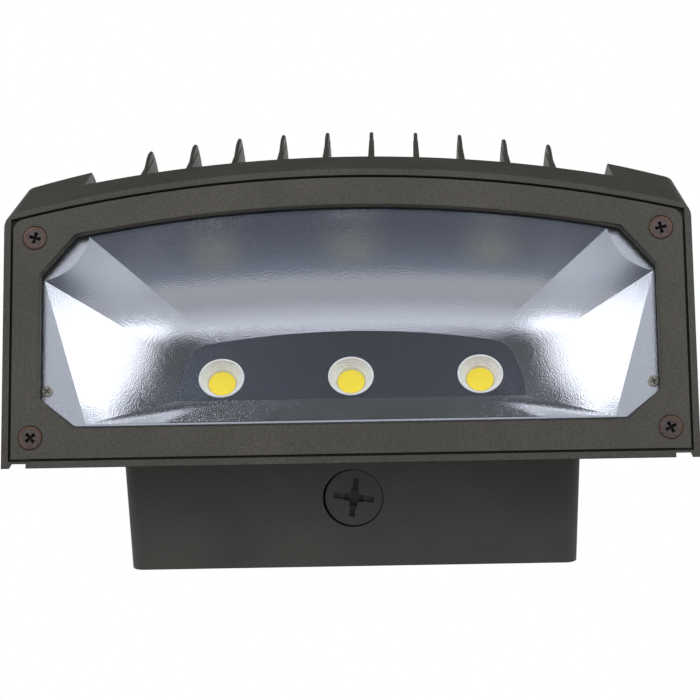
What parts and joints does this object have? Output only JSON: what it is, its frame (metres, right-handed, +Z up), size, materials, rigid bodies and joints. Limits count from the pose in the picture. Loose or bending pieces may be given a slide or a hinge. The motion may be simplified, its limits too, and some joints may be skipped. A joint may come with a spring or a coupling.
{
  "type": "wall pack light",
  "caption": "Outdoor LED wall pack light: finned cast head with glass lens, hinged at its foot to a junction box on the wall.",
  "frame": {"origin": "middle of the four fixing holes, on the back of the junction box (the wall plane)", "axes": "+Z up, +Y into the wall, the light looks towards -Y and down"},
  "size_m": [0.298, 0.1771, 0.1722],
  "materials": {
    "box_paint": "matte",
    "plug_paint": "matte",
    "housing_paint": "matte",
    "frame_paint": "matte",
    "foam_rubber": "matte",
    "seal_rubber": "matte",
    "pin_steel": "satin",
    "screw_steel": "satin",
    "screw_bronze": "satin",
    "ground_green": "satin",
    "clear_glass": "gloss",
    "bright_aluminium": "polished",
    "led_board": "matte",
    "led_phosphor": "matte",
    "cup_plastic": "gloss",
    "pad_grey": "matte",
    "driver_case": "satin",
    "surge_case": "matte",
    "terminal_plastic": "matte"
  },
  "bodies": {
    "box": {"back_box": "box_paint", "box_gasket": "foam_rubber", "hinge_pins": "pin_steel", "conduit_plug_bottom": "plug_paint", "conduit_plug_left": "plug_paint", "conduit_plug_right": "plug_paint", "ground_screw": "ground_green"},
    "head": {"captive_screws": "screw_steel", "housing": "housing_paint", "lens_frame": "frame_paint", "lens_glass": "clear_glass", "lens_gasket": "seal_rubber", "reflector": "bright_aluminium", "lens_frame_screws": "screw_bronze", "reflector_screws": "screw_steel", "driver": "driver_case", "surge_protector": "surge_case", "terminal_block": "terminal_plastic", "driver_screws": "screw_steel", "lead_grommet": "seal_rubber", "led_board_left": "led_board", "led_disc_left": "led_phosphor", "led_cup_left": "cup_plastic", "thermal_pad_left": "pad_grey", "led_board_centre": "led_board", "led_disc_centre": "led_phosphor", "led_cup_centre": "cup_plastic", "thermal_pad_centre": "pad_grey", "led_board_right": "led_board", "led_disc_right": "led_phosphor", "led_cup_right": "cup_plastic", "thermal_pad_right": "pad_grey"}
  },
  "joints": [
    {"name": "head_hinge", "type": "hinge", "parent": "box", "child": "head", "pos_m": [0, -0.056, -0.07], "axis": [1, 0, 0], "range_deg": [0, 90]}
  ]
}
